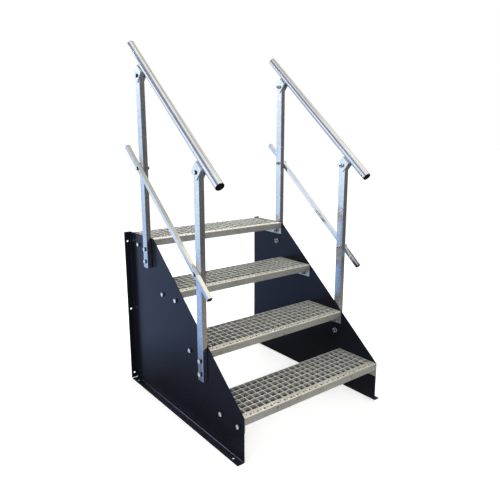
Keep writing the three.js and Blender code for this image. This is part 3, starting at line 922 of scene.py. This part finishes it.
def square_plug():
    stem, cap = 15.4, 20
    profile = [(3, -14, 0.5), (14, -14, 0.5), (stem, -13, 0.7), (stem, 0.3, 0.7), (19.5, 0.3, 2.0),
               (cap, 0.6, 2.2), (cap, 1.7, 2.2), (19.2, 2.4, 1.9), (17.4, 2.8, 1.5), (9, 3.0, 1.0)]
    return loft([at_height(rounded_box(w * MM, w * MM, r * MM), z * MM) for w, z, r in profile])


FLIP = Matrix.Rotation(math.pi, 4, "X")
plug_meshes = {"handrail": round_plug(), "knee_rail": square_plug()}
for side, sign in SIDES.items():
    for rail, m in RAILS.items():
        for end, place in (("lower", along(m["low"]) @ FLIP), ("upper", along(m["low"] + m["length"]))):
            piece(f"{rail}_plug_{side}_{end}", "moulded", plug_meshes[rail], [plastic],
                  slope_frame(rail, sign) @ place)
print("Plugs:", [len(mesh.polygons) for mesh in plug_meshes.values()], "faces")

# %% [markdown]
# ## Saddles
#
# A saddle is a short channel folded from sheet. It is welded under the handrail and straddles the top
# of a post, with one bolt through both. Solidify could thicken it as it does the cheek. A closed
# section is shorter to write here, since both surfaces of a bend are arcs round one centre. One half
# is drawn, then its mirror image, and the loft takes it 50 mm along. Two weld beads join it to the
# tube.

# %% Fold and weld the saddles
SADDLE_INNER, SADDLE_WALL, SADDLE_BEND, SADDLE_LENGTH = 13 * MM, 3.5 * MM, 4.2 * MM, 50 * MM
SADDLE_TOP, SADDLE_BOTTOM = 19.3 * MM, SADDLE_DROP + 20 * MM


def saddle_leg(x, bend):
    """One surface of a leg and its bend, from the bottom to the top"""
    centre_x, centre_y = SADDLE_INNER + SADDLE_WALL - SADDLE_BEND, SADDLE_TOP + SADDLE_BEND
    arc = [(centre_x + bend * math.cos(t), centre_y - bend * math.sin(t)) for t in quarter(6)]
    return [(x, SADDLE_BOTTOM)] + arc


outside = saddle_leg(SADDLE_INNER + SADDLE_WALL, SADDLE_BEND)
inside = saddle_leg(SADDLE_INNER, SADDLE_BEND - SADDLE_WALL)
section = outside + [(-x, y) for x, y in outside[::-1] + inside] + inside[::-1]
saddle_blank = loft([at_height(section, z) for z in (-SADDLE_LENGTH / 2, SADDLE_LENGTH / 2)])
saddle_blank = with_modifiers(saddle_blank, edge_bevel(0.5 * MM))
bead_lines = [[(x, 19 * MM, z) for z in (-23 * MM, 23 * MM)] for x in (-7 * MM, 7 * MM)]
saddle_mesh = joined([saddle_blank, weld_beads(bead_lines, post_zinc, radius=1.9 * MM, seed=8)])

post_distance = 2 * GOING / math.cos(PITCH)
SADDLE_SPOTS = {where: k * post_distance - SADDLE_DROP * math.tan(PITCH) for k, where in enumerate(POSTS)}
for side, sign in SIDES.items():
    for where, distance in SADDLE_SPOTS.items():
        piece(f"saddle_{side}_{where}", "folded", saddle_mesh, [post_zinc],
              slope_frame("handrail", sign) @ along(distance))
print("Saddle:", len(saddle_mesh.polygons), "faces")

# %% [markdown]
# ## Bolts
#
# Twenty-eight bolts hold everything. The eye knows a hexagon bolt well, and what makes it is the
# chamfer: the corners of the head are cut back by a cone, so each side ends in a curve. A Boolean
# with a cone would cut them, but leaves ragged faces. Rings of 48 points can follow a hexagon and a
# circle alike, and the height of the head's edge falls with the distance from the axis.

# %% Hexagons with chamfered corners
TURNS = [2 * math.pi * i / 48 for i in range(48)]


def hexagon(across_flats):
    """Distance from the axis to the hexagon's edge, for each point of a ring"""
    sixth = math.pi / 3
    return [across_flats / 2 / math.cos((t + sixth / 2) % sixth - sixth / 2) for t in TURNS]


def ring_at(reach, x):
    """A ring round the X axis. reach and x are numbers, or lists with one value a point."""
    reach, x = (value if isinstance(value, list) else [value] * len(TURNS) for value in (reach, x))
    return [Vector((along_x, r * math.sin(t), r * math.cos(t))) for along_x, r, t in zip(x, reach, TURNS)]


def cone_cut(reach, rim, face, direction):
    """Where a 30 degree cone through a circle meets the hexagon's sides"""
    return [face - direction * max(r - rim, 0) * math.tan(math.radians(30)) for r in reach]


def hexagon_solid(across_flats, low, high, cut_low=True):
    """A bolt's head or a nut, chamfered at one end or both. Its flats take the second finish, as painted
    shade.
    """
    reach, rim = hexagon(across_flats), across_flats / 2 * 0.97
    low_edge = [ring_at(rim, low), ring_at(reach, cone_cut(reach, rim, low, -1))]
    high_edge = [ring_at(reach, cone_cut(reach, rim, high, 1)), ring_at(rim, high)]
    solid = loft([ring_at(0.2 * rim, low), *(low_edge if cut_low else [ring_at(reach, low)]),
                  *high_edge, ring_at(0.2 * rim, high)])
    for face in solid.polygons:
        # Painted shade: the flats take the dark second finish.
        face.material_index = int(abs(face.normal.x) < 0.3)
    return solid


def turned(profile):
    """A solid of revolution round X, from places along it and radii"""
    return loft([ring_at(radius, x) for x, radius in profile])


print("A hexagon's corners reach", round(max(hexagon(2)), 4), "for 1 at its flats")

# %% [markdown]
# A bolt set is the bolt, the nut and a washer under the nut. It is built along X from the surface
# that the head lies on. The grip is how much metal it clamps. The thread is a run of rings of two
# radii, enough for the few turns that stand out past the nut. A real thread is a helix, but at this
# size nobody can tell, and rings need no seam.

# %% Put a bolt set together
M12 = {"shank": 6, "flats": 18, "head": 7.5, "nut": 10, "washer": 2.5, "washer_radius": 12, "pitch": 1.75}
M10 = {"shank": 5, "flats": 16, "head": 6.4, "nut": 8, "washer": 2.0, "washer_radius": 10, "pitch": 1.5}
THREAD_BEYOND_NUT = 4 * MM
TREAD_GRIP = END_PLATE + SEAT_GAP + CHEEK_THICKNESS


def washer(low, high, radius, edge=0.35 * MM):
    return turned([(low, 0.4 * radius), (low, radius - edge), (low + edge, radius),
                   (high - edge, radius), (high, radius - edge), (high, 0.4 * radius)])


def shank(tip, thread_end, radius, pitch):
    """The bolt's shank from its tip to just inside the head, with a thread up to thread_end"""
    chamfer, lead_in, groove = 0.3 * MM, 1.2 * MM, radius - 0.6 * pitch
    profile, x = [(tip, 0.3 * groove), (tip, groove - chamfer)], tip + lead_in
    while x < thread_end:
        profile += [(x, groove), (x + 0.5 * pitch, radius)]
        x += pitch
    profile += [(x + 0.2 * MM, radius), (MM, radius), (MM, 0.3 * groove)]
    solid = turned(profile)
    for face in solid.polygons:
        face.material_index = 1
    return solid


def bolt_set(size, grip):
    m = {name: value * MM for name, value in size.items()}
    seat = -grip - 2 * SEAT_GAP
    nut_face = seat - m["washer"]
    nut_end = nut_face - m["nut"]
    return joined([hexagon_solid(m["flats"], 0, m["head"], cut_low=False),
                   hexagon_solid(m["flats"], nut_end, nut_face),
                   washer(nut_face, seat, m["washer_radius"]),
                   shank(nut_end - THREAD_BEYOND_NUT, nut_end + m["pitch"], m["shank"], m["pitch"])])


sample = bolt_set(M12, TREAD_GRIP)
print("Bolt set:", len(sample.polygons), "faces")

# %% [markdown]
# Each place gets a set with the grip it needs. The front bolts of the second and fourth treads are
# long ones, through the post as well. A fitter leaves hexagons at any angle, so each set is turned by
# a random amount from a fixed seed, which gives the same result every time.

# %% Set all the bolts
import random

angles = random.Random(11)
made_sets, bolts = {}, []


def set_bolt(node, size, grip, sign, spot, slope=Matrix()):
    """Adds a bolt whose head lies at a spot of the right side, or at the same spot of the left one"""
    key = (size["shank"], round(grip / MM, 2))
    if key not in made_sets:
        made_sets[key] = bolt_set(size, grip)
    x, y, z = spot
    facing = Matrix.Rotation(math.pi if sign < 0 else 0, 4, "Z")
    turn = Matrix.Rotation(math.radians(angles.uniform(0, 60)), 4, "X")
    place = slope @ Matrix.Translation((sign * x, y, z)) @ facing @ turn
    bolts.append(piece(node, "set", made_sets[key], [bolt_zinc, oily_steel_and_flat_shade], place))


POST_GRIP, KNEE_GRIP = SEAT_GAP + POST_WIDTH, SEAT_GAP + KNEE_SIZE
OVER_CHEEK, OVER_POST = CHEEK_OUTER_X + SEAT_GAP, POST_OUTER_X + SEAT_GAP
SADDLE_SIDE = SADDLE_INNER + SADDLE_WALL
post_treads = [spot["tread"] for spot in POSTS.values()]
for side, sign in SIDES.items():
    for i, row, y, z in tread_bolts():
        long_one = row == "front" and i in post_treads
        set_bolt(f"tread_bolt_{i + 1}_{side}_{row}", M12, TREAD_GRIP + long_one * POST_GRIP, sign,
                 (OVER_POST if long_one else OVER_CHEEK, y, z))
    for where, spot in POSTS.items():
        set_bolt(f"post_bolt_{side}_{where}", M12, CHEEK_THICKNESS + POST_GRIP, sign,
                 (OVER_POST, spot["y"], spot["lower_bolt"]))
        set_bolt(f"knee_rail_bolt_{side}_{where}", M10, POST_WIDTH + KNEE_GRIP, sign,
                 (OVER_POST + KNEE_GRIP, spot["y"], spot["bottom"] + KNEE_BOLT_HEIGHT))
        set_bolt(f"saddle_bolt_{side}_{where}", M10, 2 * SADDLE_SIDE, sign,
                 (SADDLE_SIDE + SEAT_GAP, SADDLE_DROP, SADDLE_SPOTS[where]), slope_frame("handrail", sign))
print("Bolts:", len(bolts))

# %% [markdown]
# ## Check against the frame
#
# Each piece stands for a CAD node, so its box should match that node's box to within the small
# roundings. Comparing boxes finds a slipped size at once. Bolts differ a little, because they are
# turned and have round washers.

# %% Compare boxes
pieces = [thing for thing in bpy.context.scene.objects if thing.get("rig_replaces")]
off = []
for thing in pieces:
    for node in thing["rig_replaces"]:
        mine, cad = box_of(thing.data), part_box(node)
        off.append((max(abs(mine[e][i] - cad[e][i]) for e in (0, 1) for i in range(3)) / MM, node))
off.sort(reverse=True)
print("Pieces:", len(off), "- furthest from their nodes in mm:", [(round(d, 2), n) for d, n in off[:4]])
print("Furthest that is no bolt:", next((round(d, 2), n) for d, n in off if "bolt" not in n))
print("Triangles:", sum(len(face.vertices) - 2 for thing in pieces for face in thing.data.polygons))

# %% [markdown]
# ## Floor, light and camera
#
# The stairs stand on a pale floor in a white room. The floor's own colour is a light grey, and a
# little emission that only the camera and reflections see lifts it to white, so that the shadow stays
# but adds no light to the steel. The world is white in the same way: seen as white, but lighting at a
# calm level.

# %% Floor and world
FLOOR_TOP, FLOOR_BOTTOM, FLOOR_RADIUS = -0.5 * MM, -20 * MM, 60.0


def seen_by(board, *kinds):
    """1 for a ray of one of these kinds, 0 for any other"""
    rays = board.tree.nodes.new("ShaderNodeLightPath")
    first, *others = (Wire(board, rays.outputs[f"Is {kind} Ray"]) for kind in kinds)
    return sum(others, first)


floor_rings = [(0.02, FLOOR_TOP), (1.5, FLOOR_TOP), (FLOOR_RADIUS, FLOOR_TOP),
               (FLOOR_RADIUS, FLOOR_BOTTOM), (0.02, FLOOR_BOTTOM)]
floor = object_of(loft([at_height(circle(radius, 96), z) for radius, z in floor_rings]), "floor")
pale = Finish("pale_floor")
pale.feed(Base_Color=pale.blend(pale.noise(1.5), (0.80, 0.80, 0.80), (0.82, 0.82, 0.82)), Roughness=0.9,
          Specular_IOR_Level=0.0)
far = pale.steps(pale.vector("LENGTH", pale.place, output="Value"), 1.0, 2.6)
strength = (0.56 + 0.24 * far) * seen_by(pale, "Camera", "Glossy")
glow = pale.node("ShaderNodeEmission", {"Color": (1, 1, 1, 1), "Strength": strength})
own = Wire(pale, pale.shader.outputs["BSDF"])
pale.show(pale.node("ShaderNodeAddShader", {0: own, 1: glow}))
floor.data.materials.append(pale.material)

world = bpy.data.worlds.new("white_room")
world.use_nodes = True
bpy.context.scene.world = world
room = Board(world.node_tree)
seen = room.node("ShaderNodeClamp", {"Value": seen_by(room, "Camera", "Glossy", "Transmission")})
room.fill(world.node_tree.nodes["Background"], {"Color": (1, 1, 1, 1), "Strength": 0.34 + 0.66 * seen})
print("Floor and world are set")

# %% [markdown]
# Zinc shows what surrounds it more than its own colour. In an all white room it would be white all
# over. A photographer puts cards round a metal object so that each of its faces mirrors another tone,
# and the same is done here. A picture of a studio round the world would do it too, but no face could
# be tuned by itself. Only reflections see the cards. They are out of the camera's sight, cast no
# shadow and shed no light. A card glows with the colours that its paint works out, by height on the
# round walls.

# %% A card that only reflections see
CARD_REACH, CARD_CEILING = 3.4, 3.6


def card(name, points, paint):
    """One card. Its points run along its lower edge and back along the upper one. paint gets its
    Finish and returns the colour it glows with."""
    mesh, last = bpy.data.meshes.new(name), len(points) - 1
    mesh.from_pydata(points, [], [(i, i + 1, last - i - 1, last - i) for i in range(last // 2)])
    thing = object_of(mesh, name)
    look = Finish(name)
    look.show(look.node("ShaderNodeEmission", {"Color": paint(look), "Strength": 1.0}))
    mesh.materials.append(look.material)
    thing.visible_camera = thing.visible_shadow = thing.visible_diffuse = False


def ramp(look, value, span, stops):
    """Colours over a value. Places in stops are in the unit of the value, up to the span."""
    stops = [(place / span, colour) for place, colour in stops]
    return look.node("ShaderNodeValToRGB", {"Fac": value * (1 / span)}, stops=stops)


def wall_card(name, first, last, height, stops, radius=CARD_REACH, low=0.0):
    """Part of a round wall between two compass angles from +X, painted by height"""
    turns = [math.radians(first + (last - first) * k / 12) for k in range(13)]
    rim = [(radius * math.cos(t), radius * math.sin(t)) for t in turns]
    card(name, at_height(rim, low) + at_height(rim[::-1], height),
         lambda look: ramp(look, look.height(), height, stops))


def flat_card(name, low, high, height, paint):
    card(name, at_height(rectangle(low, high), height), paint)


print("Cards are ready to be placed")

# %% [markdown]
# The floor needs a card as well, since half of what the posts mirror is floor. Near the stairs it is
# dark, as under any object. Further out it turns pale blue behind on the left, and grey and then dark
# in front. The distance from the stairs' footprint is worked out with Vector Math.

# %% Place the floor's card
def floor_paint(look):
    beyond = look.vector("SUBTRACT", look.vector("ABSOLUTE", look.place), (0.44, 0.30, 1.0))
    away = look.vector("LENGTH", look.vector("MAXIMUM", beyond, (0, 0, 0)), output="Value")
    to_rear_left = look.vector("DOT_PRODUCT", look.place, (-0.8, 0.6, 0.0), output="Value")
    behind = look.steps(to_rear_left, -0.25, 0.35)
    front = [(0.0, (0.12, 0.12, 0.11)), (0.2, (0.33, 0.33, 0.31)), (0.6, (0.34, 0.31, 0.26)),
             (1.4, (0.24, 0.22, 0.19)), (3.0, (0.13, 0.12, 0.115))]
    back = [(0.0, (0.03, 0.03, 0.04)), (0.16, (0.10, 0.13, 0.18)), (0.4, (0.20, 0.27, 0.42)),
            (0.57, (0.28, 0.39, 0.66)), (0.72, (0.37, 0.54, 0.82)), (1.4, (0.42, 0.58, 0.98)),
            (3.0, (0.46, 0.64, 1.0))]
    return look.blend(behind, *(ramp(look, away, 3.2, stops) for stops in (front, back)))


flat_card("floor_card", (-CARD_REACH, -CARD_REACH), (CARD_REACH, CARD_REACH), 2 * MM, floor_paint)
print("Placed floor_card")

# %% [markdown]
# The walls follow one another round the stairs. Behind on the left they are cool and bright low down,
# which makes the left faces of the posts pale blue. A narrow, very bright window high up there draws
# the light line along the bend of the left cheek. Behind on the right the wall is warm over a grey
# foot, for the tops of the treads and the handrails, and to the right of that it lies in the shade,
# for the handrails' right edges. In front it is dark, for all that faces the viewer. Overhead, an
# olive card and a skylight tone what looks up.

# %% Place the other cards
grey_foot = [(0.0, (0.26, 0.26, 0.27)), (1.1, (0.32, 0.32, 0.31))]
wall_card("cool_card", 88, 122, 5.0,
          [(0.0, (0.50, 0.68, 1.02)), (1.3, (0.58, 0.75, 1.04)), (2.2, (1.5, 1.6, 1.8))])
wall_card("window_card", 98, 125, 5.6, [(0.0, (17.0, 17.5, 21.0))], radius=3.3, low=2.4)
wall_card("blue_card", 122, 190, 6.4,
          [(0.0, (0.66, 0.84, 1.12)), (0.8, (0.94, 1.10, 1.26)), (2.25, (1.10, 1.20, 1.26)),
           (2.5, (0.30, 0.32, 0.41)), (6.0, (0.30, 0.31, 0.38))])
wall_card("dark_card", 190, 350, 3.4, [(0.0, (0.12, 0.115, 0.11)), (3.3, (0.20, 0.20, 0.21))])
wall_card("warm_card", 46, 88, 3.4, grey_foot + [(1.42, (1.18, 1.10, 0.90)), (3.3, (1.22, 1.14, 0.94))])
wall_card("shade_card", -10, 46, 3.4, grey_foot + [(1.7, (0.46, 0.43, 0.36)), (3.3, (0.50, 0.47, 0.39))])
flat_card("olive_card", (-0.15, -0.3), (1.5, 2.6), CARD_CEILING, lambda look: (0.60, 0.59, 0.52, 1))
flat_card("skylight_card", (0.9, -1.9), (2.7, -0.35), CARD_CEILING, lambda look: (1.22, 1.16, 0.95, 1))

# %% [markdown]
# The lamps are few and soft: a large key from the upper left, a weaker one from behind, and one
# overhead that brings out everything that faces up. Metal doesn't mirror them, since the cards take
# care of that. The camera stands where the photograph was taken from, which was found by fitting
# about a hundred edges and bolts of the stairs. That fit gave its focal length in pixels of the
# photograph, which the width of the sensor turns into millimetres. Depth of field stays off.

# %% Lamps and camera
def softbox(name, place, target, size, power, colour):
    lamp = bpy.data.lights.new(name, "AREA")
    lamp.shape, lamp.size, lamp.energy, lamp.color = "SQUARE", size, power, colour
    thing = object_of(lamp, name)
    thing.location = place
    thing.rotation_euler = (Vector(target) - Vector(place)).to_track_quat("-Z", "Y").to_euler()
    thing.visible_glossy = False


softbox("key", (-2.6, -1.0, 3.2), (0, 0, 0.7), 1.6, 44, (1.0, 0.99, 0.97))
softbox("rear", (1.8, 2.6, 2.6), (0, 0, 0.8), 1.6, 25, (0.96, 0.98, 1.0))
softbox("top", (0.2, 0.3, 3.6), (0, 0, 0.5), 2.0, 72, (1.0, 0.98, 0.94))

CAMERA_PLACE, CAMERA_TILT_DOWN, CAMERA_TURN = (-1.4744, -1.8899, 1.2563), 0.2165, -0.6620
FOCAL_PIXELS, PHOTO_PIXELS, SENSOR_WIDTH = 504.84, 500, 36.0
scene = bpy.context.scene
scene.view_settings.view_transform = "Standard"
camera_data = bpy.data.cameras.new("camera")
camera_data.sensor_width = SENSOR_WIDTH
camera_data.lens = FOCAL_PIXELS / PHOTO_PIXELS * SENSOR_WIDTH
camera_data.clip_end = FLOOR_RADIUS
scene.camera = object_of(camera_data, "camera")
scene.camera.location = CAMERA_PLACE
scene.camera.rotation_euler = (math.pi / 2 - CAMERA_TILT_DOWN, 0.0, CAMERA_TURN)
print("Camera lens in mm:", round(camera_data.lens, 2))

# %% [markdown]
# ## Last cell
#
# The made pieces must stay inside the CAD model's box.

# %% Import json
import json
